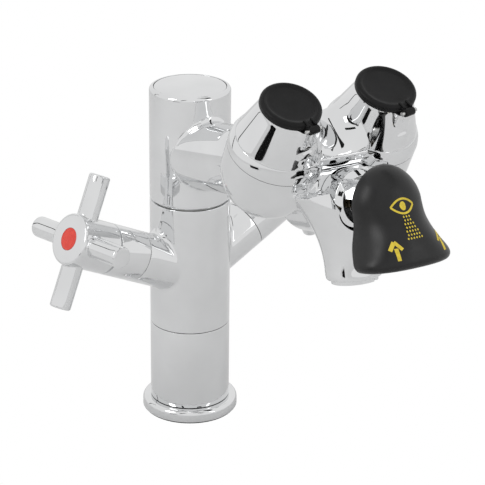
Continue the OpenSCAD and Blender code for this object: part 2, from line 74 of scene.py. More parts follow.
def finish(name, light, dark, rough, metal=0.0, patch=12 * mm, grain=0.0, grain_size=0.5 * mm, along=1.0):
    """A finish whose colour and gloss wander a little, over a fine grain that stands grain metres proud."""
    made = bpy.data.materials.new(name)
    made.use_nodes = True
    made.diffuse_color = (*light, 1)
    tree = made.node_tree
    shader = tree.nodes["Principled BSDF"]
    shader.inputs["Metallic"].default_value = metal
    colour = tree.nodes.new("ShaderNodeMix")
    colour.data_type = "RGBA"
    colour.inputs["A"].default_value = (*dark, 1)
    colour.inputs["B"].default_value = (*light, 1)
    tree.links.new(speckled(tree, patch, 0, 1, lengthways=along), colour.inputs["Factor"])
    tree.links.new(colour.outputs["Result"], shader.inputs["Base Color"])
    gloss = speckled(tree, patch * 0.6, *rough, detail=8, lengthways=along)
    tree.links.new(gloss, shader.inputs["Roughness"])
    if grain:
        relief = tree.nodes.new("ShaderNodeBump")
        relief.inputs["Distance"].default_value = grain
        relief.inputs["Strength"].default_value = 1.0
        tree.links.new(speckled(tree, grain_size, 0, 1, lengthways=along), relief.inputs["Height"])
        tree.links.new(relief.outputs["Normal"], shader.inputs["Normal"])
    return made


chrome = finish("chrome", (0.80, 0.805, 0.81), (0.74, 0.745, 0.75), (0.02, 0.05), metal=1.0,
                patch=30 * mm, grain=0.004 * mm, grain_size=14 * mm)
gasket_rubber = finish("rubber", (0.03, 0.03, 0.032), (0.015, 0.015, 0.016), (0.55, 0.8),
                       patch=6 * mm, grain=0.03 * mm, grain_size=0.6 * mm)


def coat(node, material, edge=0.0):
    """Gives a turned or cast part its finish, with its sharp edges broken by that much."""
    part = nodes[node]
    part.data.materials.clear()
    part.data.materials.append(material)
    for face in part.data.polygons:
        face.use_smooth = True
    weld = part.modifiers.new("weld", "WELD")
    weld.merge_threshold = 0.002 * mm
    if edge:
        bevel = part.modifiers.new("edges", "BEVEL")
        bevel.width = edge
        bevel.segments = 3
        bevel.angle_limit = math.radians(40)
        bevel.use_clamp_overlap = True
    split = part.modifiers.new("creases", "EDGE_SPLIT")
    split.split_angle = math.radians(35)


coat("deck_gasket", gasket_rubber)
coat("base_flange", chrome, 0.25 * mm)
coat("lower_sleeve", chrome, 0.2 * mm)

# ---------------------------------------------------------------------------- inlet block and supply tubes
# The block is sawn from brass bar and drilled for the two fixing studs and the two flexible tails.
# Copper tubes are pressed into it and run up the inside of the sleeve to the valves.

brass = finish("brass", (0.62, 0.45, 0.17), (0.50, 0.34, 0.12), (0.16, 0.34), metal=1.0,
               patch=5 * mm, grain=0.006 * mm, grain_size=0.4 * mm, along=0.1)
copper = finish("copper", (0.72, 0.36, 0.22), (0.55, 0.25, 0.15), (0.2, 0.42), metal=1.0,
                patch=7 * mm, grain=0.005 * mm, grain_size=0.5 * mm, along=6)
coat("inlet_block", brass, 0.3 * mm)
coat("hot_supply_tube", copper)
coat("cold_supply_tube", copper)

# ---------------------------------------------------------------------------- mixer body
# One brass casting: a round body with two arms that slope up to the hot and cold valves.
# Each arm grows out of the body in a small cast fillet, and the whole is polished after casting.


def pick(piece):
    """Makes one piece the only selected one."""
    bpy.ops.object.select_all(action="DESELECT")
    piece.select_set(True)
    bpy.context.view_layer.objects.active = piece


def tidy_mesh(piece, angle=30):
    """Merges doubles, turns the faces outwards and shades all but the sharp edges smooth."""
    pick(piece)
    bpy.ops.object.mode_set(mode="EDIT")
    bpy.ops.mesh.select_all(action="SELECT")
    bpy.ops.mesh.remove_doubles(threshold=0.002 * mm)
    bpy.ops.mesh.normals_make_consistent(inside=False)
    bpy.ops.object.mode_set(mode="OBJECT")
    bpy.ops.object.shade_smooth_by_angle(angle=math.radians(angle))


def rod(name, radius, low, high, sides=192, rings=1):
    """A round bar along Z between two heights, with extra rings so that its skin stays even."""
    bpy.ops.object.select_all(action="DESELECT")
    bpy.ops.mesh.primitive_cylinder_add(vertices=sides, radius=radius, depth=high - low,
                                        location=(0, 0, (low + high) / 2))
    made = bpy.context.object
    made.name = name
    bpy.ops.object.transform_apply(location=True, rotation=True, scale=True)
    for cut in range(1, rings):
        bpy.ops.object.mode_set(mode="EDIT")
        bpy.ops.mesh.select_all(action="SELECT")
        bpy.ops.mesh.bisect(plane_co=(0, 0, low + (high - low) * cut / rings), plane_no=(0, 0, 1))
        bpy.ops.object.mode_set(mode="OBJECT")
    return made


def round_ends(piece, width, wanted):
    """Rounds the sharp edges for which wanted(middle) is true."""
    pick(piece)
    bpy.ops.object.mode_set(mode="EDIT")
    bpy.ops.mesh.select_mode(type="EDGE")
    bpy.ops.mesh.select_all(action="DESELECT")
    bpy.ops.mesh.edges_select_sharp(sharpness=math.radians(40))
    bpy.ops.object.mode_set(mode="OBJECT")
    for edge in piece.data.edges:
        ends = [piece.data.vertices[v].co for v in edge.vertices]
        edge.select = edge.select and wanted((ends[0] + ends[1]) / 2)
    bpy.ops.object.mode_set(mode="EDIT")
    bpy.ops.mesh.bevel(offset=width, segments=6, clamp_overlap=True)
    bpy.ops.mesh.select_mode(type="VERT")
    bpy.ops.object.mode_set(mode="OBJECT")
    return piece


def place_at(piece, place):
    """Moves a piece from the bench to its place on the tap."""
    pick(piece)
    piece.matrix_world = place @ piece.matrix_world
    bpy.ops.object.transform_apply(location=True, rotation=True, scale=True)
    return piece


def combine(piece, tool, how):
    """Joins a tool to a piece (UNION) or cuts it out of it (DIFFERENCE)."""
    pick(piece)
    step = piece.modifiers.new("step", "BOOLEAN")
    step.operation = how
    step.solver = "EXACT"
    step.object = tool
    bpy.ops.object.modifier_apply(modifier=step.name)
    bpy.data.objects.remove(tool)
    return piece


def arm_from(name, body_r, arm_r, fillet, rise, length, edge, sides=128):
    """A round arm along +X that grows out of an upright round body with a rolled fillet at its root."""
    out = Vector((math.cos(rise), 0, math.sin(rise)))
    over = Vector((-math.sin(rise), 0, math.cos(rise)))
    across = Vector((0, 1, 0))
    sweep, end_sweep, straight = 14, 6, 6

    def ring(turn):
        spoke = math.cos(turn) * across + math.sin(turn) * over
        wide = arm_r + fillet
        reach = (math.sqrt((body_r + fillet) ** 2 - (wide * math.cos(turn)) ** 2)
                 + wide * math.sin(turn) * math.sin(rise)) / math.cos(rise)
        centre = out * reach + spoke * wide
        flat = Vector((centre.x, centre.y, 0))
        to_body = -flat.normalized()
        to_arm = -spoke
        corner = to_body.angle(to_arm)
        row = [out * 2 * mm + spoke * (arm_r - 2 * mm)]
        for i in range(sweep + 1):
            part = i / sweep
            swing = to_body * math.sin((1 - part) * corner) + to_arm * math.sin(part * corner)
            sunk = 0.03 * mm * (1 - part) ** 2
            row.append(centre + swing / math.sin(corner) * (fillet + sunk))
        start = out * reach + spoke * arm_r
        stop = out * (length - edge) + spoke * arm_r
        row += [start.lerp(stop, i / straight) for i in range(1, straight + 1)]
        for i in range(1, end_sweep + 1):
            lean = math.pi / 2 * i / end_sweep
            along = out * (length - edge + edge * math.sin(lean))
            row.append(along + spoke * (arm_r - edge + edge * math.cos(lean)))
        return row

    rows = [ring(2 * math.pi * i / sides) for i in range(sides)]
    bpy.ops.object.select_all(action="DESELECT")
    bpy.ops.mesh.primitive_grid_add(x_subdivisions=sides, y_subdivisions=len(rows[0]) - 1, size=2)
    made = bpy.context.object
    made.name = name
    for v in made.data.vertices:
        column = round((v.co.x + 1) / 2 * sides) % sides
        v.co = rows[column][round((v.co.y + 1) / 2 * (len(rows[0]) - 1))]
    tidy_mesh(made)
    bpy.ops.object.mode_set(mode="EDIT")
    bpy.ops.mesh.fill_holes(sides=0)
    bpy.ops.mesh.select_all(action="SELECT")
    bpy.ops.mesh.normals_make_consistent(inside=False)
    bpy.ops.object.mode_set(mode="OBJECT")
    return made


column_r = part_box("lower_sleeve")[1].x
sleeve_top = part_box("lower_sleeve")[1].z
swivel_z = joints["spout_swivel"]["pos_m"][2]
seam = 0.3 * mm
arm_r = 15.2 * mm
arm_end = 46 * mm - seam
hot_out = Vector(joints["hot_handle_turn"]["axis"])
cold_out = -Vector(joints["cold_handle_turn"]["axis"])
arm_z = joints["hot_handle_turn"]["pos_m"][2]


def arm_place(out):
    """Where an arm stands: X along it on the level, Z up."""
    return Matrix.Translation((0, 0, arm_z)) @ Matrix.Rotation(math.atan2(out.y, out.x), 4, "Z")


mixer = rod("mixer_casting", column_r, sleeve_top + seam, swivel_z, rings=30)
round_ends(mixer, 0.3 * mm, lambda middle: True)
arm_rise = math.asin(hot_out.z)
for out in (hot_out, cold_out):
    arm = arm_from("arm", column_r, arm_r, 3.5 * mm, arm_rise, arm_end, 0.3 * mm)
    combine(mixer, place_at(arm, arm_place(out)), "UNION")
for out in (hot_out, cold_out):
    bore = rod("bore", 10.4 * mm, 24 * mm, 48 * mm, sides=64)
    lean = Matrix.Rotation(math.pi / 2 - arm_rise, 4, "Y")
    combine(mixer, place_at(bore, arm_place(out) @ lean), "DIFFERENCE")
tidy_mesh(mixer)
mixer.data.materials.append(chrome)
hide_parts("mixer_body")
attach(mixer, "base")

# ---------------------------------------------------------------------------- swivel head of the column
# A turned and bored brass head turns on the mixer body, and the neck of the spout is brazed into it.
# The joint is dressed to a small fillet and plated over, and a screwed cap closes the top.

head_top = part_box("column_cap")[1].z - 1.2 * mm
cap_r = 21.55 * mm
cap_depth = 4 * mm
neck_r = 20 * mm
neck_rise = math.radians(14)
neck_z = swivel_z + 27.8 * mm
neck_end = 111 * mm
spigot_r = 15.1 * mm
spigot_top = 16 * mm

swivel = rod("swivel_casting", column_r, swivel_z + seam, head_top, rings=26)
round_ends(swivel, 2.2 * mm, lambda middle: middle.z > head_top - mm)
round_ends(swivel, 0.3 * mm, lambda middle: middle.z < swivel_z + mm)
neck = arm_from("neck", column_r, neck_r, 3 * mm, neck_rise, neck_end, 0.3 * mm)
neck_spot = Matrix.Translation((0, 0, neck_z)) @ Matrix.Rotation(-math.pi / 2, 4, "Z")
combine(swivel, place_at(neck, neck_spot), "UNION")
chamber = rod("chamber", column_r - 4.5 * mm, swivel_z + spigot_top, head_top - 14 * mm, sides=96)
combine(swivel, chamber, "DIFFERENCE")
bore = rod("bore", spigot_r, swivel_z - mm, swivel_z + 20 * mm, sides=96)
combine(swivel, bore, "DIFFERENCE")
pocket = rod("pocket", cap_r, head_top - cap_depth, head_top + mm)
combine(swivel, pocket, "DIFFERENCE")
bore = rod("bore", 18.1 * mm, head_top - 20 * mm, head_top, sides=96)
combine(swivel, bore, "DIFFERENCE")
bore = rod("bore", 15 * mm, 12 * mm, neck_end + mm, sides=96)
neck_line = Matrix.Translation((0, 0, neck_z)) @ Matrix.Rotation(math.pi / 2 - neck_rise, 4, "X")
combine(swivel, place_at(bore, neck_line), "DIFFERENCE")
tidy_mesh(swivel)
swivel.data.materials.append(chrome)
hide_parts("swivel_column", "neck_tube")
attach(swivel, "spout")

# ---------------------------------------------------------------------------- column cap
# A brass disc with a slightly domed, polished face. It screws into the head on a fine thread,
# and a hairline gap shows all round it.


def turned(name, outline, sides=160):
    """Spins an outline of (radius, height) points round Z, from axis to axis or closed on itself."""
    mesh = bpy.data.meshes.new(name)
    on_axis = outline[0][0] == 0
    count = len(outline)
    mesh.from_pydata([(r, 0, z) for r, z in outline],
                     [(i, (i + 1) % count) for i in range(count - on_axis)], [])
    made = bpy.data.objects.new(name, mesh)
    bpy.context.scene.collection.objects.link(made)
    pick(made)
    bpy.ops.object.mode_set(mode="EDIT")
    bpy.ops.mesh.select_all(action="SELECT")
    bpy.ops.mesh.spin(steps=sides, angle=2 * math.pi, center=(0, 0, 0), axis=(0, 0, 1))
    bpy.ops.object.mode_set(mode="OBJECT")
    tidy_mesh(made)
    return made


def curve(centre_r, centre_z, radius, start, stop, count=8):
    """Points round an arc, in degrees from the outward direction."""
    turn = [math.radians(start + (stop - start) * i / count) for i in range(count + 1)]
    return [(centre_r + radius * math.cos(a), centre_z + radius * math.sin(a)) for a in turn]


disc_r = cap_r - 0.22 * mm
dome = 1.1 * mm
dome_r = (disc_r ** 2 + dome ** 2) / (2 * dome)
crown_r = [disc_r * 0.94 * i / 12 for i in range(13)]
crown = [(r, head_top + dome - dome_r + math.sqrt(dome_r ** 2 - r ** 2)) for r in crown_r]
low = head_top - cap_depth
outline = crown + curve(disc_r - 0.6 * mm, head_top - 0.6 * mm, 0.6 * mm, 80, 0, 6) + [
    (disc_r, low), (18 * mm, low), (18 * mm, low - 10 * mm), (14 * mm, low - 10 * mm),
    (14 * mm, low - 2 * mm), (0, low - 2 * mm)]
cap = turned("column_cap_plug", outline)
cap.data.materials.append(chrome)
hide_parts("column_cap")
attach(cap, "spout")
coat("cap_seal", gasket_rubber)

# ---------------------------------------------------------------------------- valves
# Quarter-turn ceramic valves sit in the arms under plain chrome bonnets. Brass cartridges hold two
# ceramic discs and a brass spindle, and the joint between casting and bonnet shows as a hairline.

ceramic = finish("ceramic", (0.86, 0.85, 0.82), (0.80, 0.79, 0.76), (0.12, 0.25),
                 patch=4 * mm, grain=0.002 * mm, grain_size=0.3 * mm)
white_plastic = finish("white_plastic", (0.80, 0.80, 0.77), (0.72, 0.72, 0.68), (0.35, 0.55),
                       patch=4 * mm, grain=0.01 * mm, grain_size=0.4 * mm)
steel = finish("steel", (0.60, 0.60, 0.59), (0.48, 0.48, 0.47), (0.18, 0.38), metal=1.0,
               patch=3 * mm, grain=0.004 * mm, grain_size=0.3 * mm, along=8)
for side in ("hot", "cold"):
    coat(f"{side}_bonnet", chrome, 0.25 * mm)
    coat(f"{side}_cartridge", brass)
    coat(f"{side}_fixed_disc", ceramic)
    coat(f"{side}_moving_disc", ceramic)
    coat(f"{side}_spindle", brass, 0.2 * mm)
    coat(f"{side}_handle_screw", steel, 0.2 * mm)
coat("swivel_washer", white_plastic)
coat("swivel_seals", gasket_rubber)
coat("swivel_nut", brass, 0.2 * mm)

# ---------------------------------------------------------------------------- cross handles
# A cross handle turns each valve: a brass hub with four round spokes, cast in one and polished, so a
# tiny fillet runs round each spoke's root. The hub's face is dished for the enamelled button.

red_enamel = finish("red_enamel", (0.78, 0.06, 0.035), (0.68, 0.04, 0.025), (0.22, 0.38),
                    patch=3 * mm, grain=0.01 * mm, grain_size=0.8 * mm)
blue_enamel = finish("blue_enamel", (0.02, 0.12, 0.60), (0.015, 0.09, 0.50), (0.22, 0.38),
                     patch=3 * mm, grain=0.01 * mm, grain_size=0.8 * mm)
hub_start = 46 * mm + 22.6 * mm
hub_length = 27.9 * mm
spoke_at = hub_length - 8.5 * mm
spoke_r = 6.25 * mm
spoke_length = 40 * mm
button_r = 6.7 * mm
button_depth = 2.4 * mm
for side, body, out, turn, enamel in (("hot", "hot_tap", hot_out, 5, red_enamel),
                                      ("cold", "cold_tap", cold_out, 0, blue_enamel)):
    handle = rod(f"{side}_cross_handle", arm_r, 0, hub_length, rings=14)
    round_ends(handle, 1.5 * mm, lambda middle: middle.z > spoke_at)
    round_ends(handle, 0.4 * mm, lambda middle: middle.z < mm)
    for quarter in range(4):
        spoke = arm_from("spoke", arm_r, spoke_r, 0.9 * mm, 0, spoke_length, 1.3 * mm, sides=72)
        spin = Matrix.Rotation(math.radians(turn + 90 * quarter), 4, "Z")
        combine(handle, place_at(spoke, Matrix.Translation((0, 0, spoke_at)) @ spin), "UNION")
    pocket = rod("pocket", button_r, hub_length - button_depth, hub_length + mm, sides=96)
    combine(handle, pocket, "DIFFERENCE")
    socket = rod("socket", 4.1 * mm, -mm, 16 * mm, sides=48)
    combine(handle, socket, "DIFFERENCE")
    pocket = rod("pocket", 5 * mm, 16 * mm, hub_length, sides=48)
    combine(handle, pocket, "DIFFERENCE")
    tidy_mesh(handle)
    lean = Matrix.Rotation(math.pi / 2 - math.asin(out.z), 4, "Y")
    hub_place = arm_place(out) @ lean @ Matrix.Translation((0, 0, hub_start))
    place_at(handle, hub_place)
    handle.data.materials.append(chrome)
    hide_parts(f"{side}_handle")
    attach(handle, body)

    face = hub_length + 0.25 * mm
    rim_r = button_r - 0.12 * mm
    outline = [(rim_r * 0.9 * i / 8, face + 0.25 * mm * (1 - (i / 8) ** 2)) for i in range(9)]
    outline += curve(rim_r - 0.5 * mm, face - 0.5 * mm, 0.5 * mm, 80, 0, 5)
    outline += [(rim_r, hub_length - button_depth), (0, hub_length - button_depth)]
    button = turned(f"{side}_button", outline, sides=96)
    place_at(button, hub_place)
    button.data.materials.append(enamel)
    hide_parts(f"{side}_index")
    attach(button, body)

# ---------------------------------------------------------------------------- eyewash casting
# The heavy casting under the two heads: two round bowls on a bridge, the boss for the diverter, the
# socket for the neck and the curved downspout. Cast brass with soft fillets, polished and plated.

head_tilt = math.radians(25.7)
head_axis = Vector((0, -math.sin(head_tilt), math.cos(head_tilt)))
spray_middle = [sum(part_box(f"{side}_spray_face"), Vector()) / 2 for side in ("left", "right")]
head_half = (spray_middle[1].x - spray_middle[0].x) / 2
head_seam = (spray_middle[0] + spray_middle[1]) / 2 - head_axis * 10.5 * mm
head_place = Matrix.Translation(head_seam) @ Matrix.Rotation(head_tilt, 4, "X")
lever_axis = Vector(joints["spool_slide"]["axis"])
lever_up = Vector((0, lever_axis.z, -lever_axis.y))
lever_rim = Vector(joints["lever_lift"]["pos_m"]) - lever_up * 8 * mm + lever_axis * 1.5 * mm
lever_slope = math.atan2(-lever_axis.y, lever_axis.z)
lever_place = Matrix.Translation(lever_rim) @ Matrix.Rotation(lever_slope, 4, "X")
outlet_tilt = math.radians(14)
outlet_axis = Vector((0, -math.sin(outlet_tilt), -math.cos(outlet_tilt)))
outlet_face = sum(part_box("aerator_insert"), Vector()) / 2 + outlet_axis * 9.5 * mm
outlet_place = Matrix.Translation(outlet_face) @ Matrix.Rotation(math.pi - outlet_tilt, 4, "X")
bowl_r = 26 * mm
bowl_flat = 13.4 * mm
boss_r = 20 * mm
boss_front = -36 * mm


def weld_and_fair(parts, name, grain, passes):
    """Melts overlapping solids into one skin and fairs it, which leaves fillets in the corners."""
    bpy.ops.object.select_all(action="DESELECT")
    for part in parts:
        part.select_set(True)
    bpy.context.view_layer.objects.active = parts[0]
    bpy.ops.object.join()
    made = bpy.context.object
    made.name = name
    made.data.remesh_voxel_size = grain
    bpy.ops.object.voxel_remesh()
    fair = made.modifiers.new("fair", "SMOOTH")
    fair.factor = 0.5
    fair.iterations = passes
    bpy.ops.object.modifier_apply(modifier=fair.name)
    return made


def slice_off(piece, point, direction):
    """Cuts a piece on a plane, throws away the side that direction points to and closes the cut."""
    pick(piece)
    bpy.ops.object.mode_set(mode="EDIT")
    bpy.ops.mesh.select_all(action="SELECT")
    bpy.ops.mesh.bisect(plane_co=point, plane_no=direction, use_fill=True, clear_outer=True)
    bpy.ops.object.mode_set(mode="OBJECT")
    return piece


def block(name, middle, size):
    """A block of that size about a middle point."""
    bpy.ops.object.select_all(action="DESELECT")
    bpy.ops.mesh.primitive_cube_add(size=1, location=middle, scale=size)
    made = bpy.context.object
    made.name = name
    bpy.ops.object.transform_apply(location=True, rotation=True, scale=True)
    return made


def bowl(side):
    low = -bowl_flat
    dome = [(bowl_r * math.cos(a), low + bowl_r * math.sin(a)) for a in
            [math.radians(-90 + 90 * i / 32) for i in range(33)]]
    dome[0] = (0, low - bowl_r)
    made = turned("bowl", dome + [(bowl_r, 3 * mm), (0, 3 * mm)])
    return place_at(made, head_place @ Matrix.Translation((side * head_half, 0, 0)))


across = Matrix.Rotation(math.pi / 2, 4, "Y")
bridge_place = head_place @ Matrix.Translation((0, 0, -17 * mm)) @ across
bridge = place_at(rod("bridge", 19 * mm, -head_half, head_half), bridge_place)
socket = place_at(rod("socket", neck_r, neck_end - 3 * mm, neck_end + 34 * mm), neck_line)
boss = place_at(rod("boss", boss_r, -74 * mm, boss_front), lever_place)
flare = [(15.2 * mm + 16 * mm * (max(0, -z - 8) / 42) ** 2.1, z * mm) for z in range(-50, -2, 2)]
spout = turned("spout", [(0, -50 * mm)] + flare + [(15.2 * mm, -2 * mm), (0, -2 * mm)])
place_at(spout, outlet_place)
casting = weld_and_fair([bowl(-1), bowl(1), bridge, socket, boss, spout], "eyewash_casting", 0.6 * mm, 60)
above = block("facing", (0, 0, 30 * mm), (200 * mm, 120 * mm, 60 * mm))
combine(casting, place_at(above, head_place), "DIFFERENCE")
combine(casting, place_at(rod("facing", 16.7 * mm, boss_front, 0), lever_place), "DIFFERENCE")
facing = rod("facing", neck_r + 2 * mm, neck_end - 6 * mm, neck_end + seam)
combine(casting, place_at(facing, neck_line), "DIFFERENCE")
for side in (-1, 1):
    seat = rod("seat", 15.6 * mm, -15 * mm, mm, sides=96)
    combine(casting, place_at(seat, head_place @ Matrix.Translation((side * head_half, 0, 0))), "DIFFERENCE")
combine(casting, place_at(rod("bore", 14.45 * mm, -48 * mm, -35 * mm, sides=96), lever_place), "DIFFERENCE")
combine(casting, place_at(rod("bore", 12.6 * mm, -16 * mm, 0, sides=96), outlet_place), "DIFFERENCE")
tidy_mesh(casting)
casting.data.materials.append(chrome)
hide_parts("eyewash_body")
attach(casting, "spout")
coat("neck_seal", gasket_rubber)

# ---------------------------------------------------------------------------- head cover
# One chromed cover shrouds both spray heads: two cones on a common band, with a saddle between them.
# A rib of two ridges under each cap's hinge swells out of the cone and dies away above the band.

mouth_r = 15.8 * mm
cover_h = 29.7 * mm
band_h = 8.5 * mm
band_r = 23.6 * mm
hinge_turn = math.radians(10)
hinge_y = -19.1 * mm
hinge_h = cover_h + 2.3 * mm


def cone(side):
    wall = [(band_r + 0.5 * mm, band_h - 3 * mm), (band_r, band_h), (mouth_r, cover_h),
            (mouth_r, cover_h + 3 * mm)]
    made = turned("cone", [(0, band_h - 3 * mm)] + wall + [(0, cover_h + 3 * mm)])
    return place_at(made, Matrix.Translation((side * head_half, 0, 0)))


def saddle():
    """The web between the cones. Its top dips between them and meets them in a wide round fillet."""
    blend = 8 * mm
    back, front = 14 * mm, -19 * mm
    bpy.ops.object.select_all(action="DESELECT")
    bpy.ops.mesh.primitive_grid_add(x_subdivisions=56, y_subdivisions=66, size=2)
    made = bpy.context.object
    for v in made.data.vertices:
        x = v.co.x * 14 * mm
        y = front + (v.co.y + 1) / 2 * (back - front)
        away = (y - 2 * mm) / (21 * mm if y < 2 * mm else 12 * mm)
        ground = 13.5 * mm - (5 * mm if y < 2 * mm else 4.5 * mm) * away ** 2
        rise = 0
        for step in range(8):
            cone_r = band_r - (band_r - mouth_r) * (ground + rise - band_h) / (cover_h - band_h)
            gap = max(0, min(blend, math.hypot(head_half - abs(x), y) - cone_r))
            rise = (rise + blend - math.sqrt(blend ** 2 - (blend - gap) ** 2)) / 2
        v.co = (x, y, ground + rise)
    bpy.ops.object.mode_set(mode="EDIT")
    bpy.ops.mesh.select_all(action="SELECT")
    bpy.ops.mesh.extrude_region_move(TRANSFORM_OT_translate={"value": (0, 0, -20 * mm)})
    bpy.ops.object.mode_set(mode="OBJECT")
    return slice_off(made, (0, 0, band_h - 3 * mm), (0, 0, -1))


def rib(side):
    """The rib under a hinge: two round ridges with a flute between them, and the swelling at their foot."""
    place = Matrix.Translation((side * head_half, 0, 0)) @ Matrix.Rotation(hinge_turn, 4, "Z")
    made = []
    for ridge in (-1, 1):
        bpy.ops.object.select_all(action="DESELECT")
        bpy.ops.mesh.primitive_cone_add(vertices=64, radius1=4.2 * mm, radius2=2.6 * mm, depth=22 * mm,
                                        location=(ridge * 2.7 * mm, hinge_y + 3.4 * mm, hinge_h - 9.5 * mm))
        made.append(bpy.context.object)
    bpy.ops.object.select_all(action="DESELECT")
    bpy.ops.mesh.primitive_uv_sphere_add(segments=48, ring_count=24, radius=1,
                                         location=(0, hinge_y + 0.9 * mm, 12.5 * mm),
                                         scale=(7.5 * mm, 4.6 * mm, 6.5 * mm))
    made.append(bpy.context.object)
    for part in made:
        pick(part)
        bpy.ops.object.transform_apply(location=True, rotation=True, scale=True)
    return [place_at(part, place) for part in made]


cover = weld_and_fair([cone(-1), cone(1), saddle(), *rib(-1), *rib(1)], "head_cover_casting", 0.5 * mm, 40)
slice_off(cover, (0, 0, band_h), (0, 0, -1))
slice_off(cover, (0, 0, cover_h), (0, 0, 1))


def band_piece(side):
    """The convex band that the cone stands on."""
    top = band_r + 0.6 * mm
    skin = [(bowl_r, seam), (bowl_r + 0.05 * mm, 2.5 * mm), (bowl_r - 0.45 * mm, 5 * mm),
            (top, band_h - 0.5 * mm), (top - 0.4 * mm, band_h + 0.05 * mm)]
    made = turned("band", [(0, seam)] + skin + [(0, band_h + 0.05 * mm)])
    return place_at(made, Matrix.Translation((side * head_half, 0, 0)))


strip = block("strip", (0, -2.5 * mm, (seam + band_h) / 2), (40 * mm, 34 * mm, band_h - seam))
round_ends(strip, 1.2 * mm, lambda middle: abs(middle.y + 2.5 * mm) > 16 * mm and middle.z > 4 * mm)
band = combine(combine(band_piece(-1), band_piece(1), "UNION"), strip, "UNION")
for side in (-1, 1):
    spot = Matrix.Translation((side * head_half, 0, 0))
    hollow = [(0, 0), (22.5 * mm, 0), (20.5 * mm, band_h), (mouth_r - 2.6 * mm, cover_h - 2 * mm),
              (mouth_r - 2.2 * mm, cover_h + mm), (0, cover_h + mm)]
    throat = [(0, -mm), (22.6 * mm, -mm), (20.2 * mm, band_h + mm), (0, band_h + mm)]
    combine(band, place_at(turned("throat", throat, sides=96), spot), "DIFFERENCE")
    combine(cover, place_at(turned("hollow", hollow, sides=96), spot), "DIFFERENCE")
    slot = rod("slot", 2.45 * mm, -3.1 * mm, 3.1 * mm, sides=48)
    notch = block("notch", (0, -2 * mm, 1.5 * mm), (6.2 * mm, 9 * mm, 9 * mm))
    hinge = spot @ Matrix.Rotation(hinge_turn, 4, "Z") @ Matrix.Translation((0, hinge_y, hinge_h))
    combine(cover, place_at(notch, hinge), "DIFFERENCE")
    combine(cover, place_at(slot, hinge @ across), "DIFFERENCE")
tidy_mesh(band)
tidy_mesh(cover)
band.select_set(True)
bpy.ops.object.join()
place_at(cover, head_place)
cover.data.materials.append(chrome)
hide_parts("head_cover")
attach(cover, "spout")

# ---------------------------------------------------------------------------- nozzles and dust caps
# Moulded black nozzles hold white spray faces and steel strainers. A black dust cap, moulded with a
# shallow dish in its top and a lug for its steel hinge pin, keeps each nozzle clean until it is used.

nozzle_plastic = finish("nozzle_plastic", (0.022, 0.022, 0.024), (0.013, 0.013, 0.014), (0.35, 0.5),
                        patch=8 * mm, grain=0.02 * mm, grain_size=0.3 * mm)
cap_plastic = finish("cap_plastic", (0.008, 0.008, 0.0085), (0.005, 0.005, 0.005), (0.34, 0.50),
                     patch=9 * mm, grain=0.02 * mm, grain_size=0.35 * mm)
cap_plastic.node_tree.nodes["Principled BSDF"].inputs["Specular IOR Level"].default_value = 0.2
dust_r = 16.5 * mm
dust_t = 4 * mm
for index, side in enumerate(("left", "right")):
    coat(f"{side}_nozzle", nozzle_plastic, 0.25 * mm)
    coat(f"{side}_spray_face", white_plastic, 0.15 * mm)
    coat(f"{side}_strainer", steel)
    coat(f"{side}_cap_pin", steel, 0.15 * mm)
    foot = cover_h + seam
    dish = [(12.6 * mm * i / 10, foot + dust_t - 0.75 * mm + 0.2 * mm * (i / 10) ** 2) for i in range(11)]
    rim = [(13.2 * mm, foot + dust_t - 0.35 * mm), (13.9 * mm, foot + dust_t - 0.05 * mm)]
    rim += curve(dust_r - 1.9 * mm, foot + dust_t - 1.9 * mm, 1.9 * mm, 82, 0, 8)
    skirt = [(dust_r, foot + 0.5 * mm), (dust_r - 0.4 * mm, foot), (12 * mm, foot),
             (12 * mm, foot - 2.1 * mm), (10.6 * mm, foot - 2.1 * mm), (10.6 * mm, foot + mm), (0, foot + mm)]
    lid = turned(f"{side}_dust_lid", dish + rim + skirt)
    spot = Matrix.Translation(((-1, 1)[index] * head_half, 0, 0)) @ Matrix.Rotation(hinge_turn, 4, "Z")
    lug = block("lug", (0, hinge_y + 2.8 * mm, foot + 1.7 * mm), (6 * mm, 6.5 * mm, 3.2 * mm))
    round_ends(lug, 0.6 * mm, lambda middle: True)
    combine(lid, lug, "UNION")
    knuckle = rod("knuckle", 2.2 * mm, -3 * mm, 3 * mm, sides=48)
    round_ends(knuckle, 0.3 * mm, lambda middle: True)
    place_at(knuckle, Matrix.Translation((0, hinge_y, hinge_h)) @ across)
    combine(lid, knuckle, "UNION")
    for cheek in (-1, 1):
        fin_middle = (cheek * 2.3 * mm, hinge_y + 3.6 * mm, foot + 3.9 * mm)
        fin = block("fin", fin_middle, (1.4 * mm, 5 * mm, 1.6 * mm))
        round_ends(fin, 0.4 * mm, lambda middle: True)
        combine(lid, fin, "UNION")
    hole = rod("hole", 1.05 * mm, -4 * mm, 4 * mm, sides=24)
    combine(lid, place_at(hole, Matrix.Translation((0, hinge_y, hinge_h)) @ across), "DIFFERENCE")
    tidy_mesh(lid, angle=40)
    place_at(lid, head_place @ spot)
    lid.data.materials.append(cap_plastic)
    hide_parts(f"{side}_dust_cap")
    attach(lid, f"{side}_cap")

# ---------------------------------------------------------------------------- diverter valve
# The diverter screws into the casting under a chromed bonnet. Its brass body and spool are hidden;
# the bonnet's two ears carry the steel pin that the lever turns on.

coat("valve_bonnet", chrome, 0.3 * mm)
dull_brass = finish("dull_brass", (0.14, 0.11, 0.07), (0.08, 0.065, 0.045), (0.35, 0.55), metal=1.0,
                    patch=4 * mm, grain=0.006 * mm, grain_size=0.4 * mm)
coat("valve_body", dull_brass)
coat("valve_spool", dull_brass, 0.15 * mm)
coat("spool_seals", gasket_rubber)
coat("spool_pin", steel, 0.15 * mm)
coat("lever_yoke", steel, 0.25 * mm)
coat("lever_pin", steel, 0.2 * mm)
coat("lever_screw", steel, 0.2 * mm)

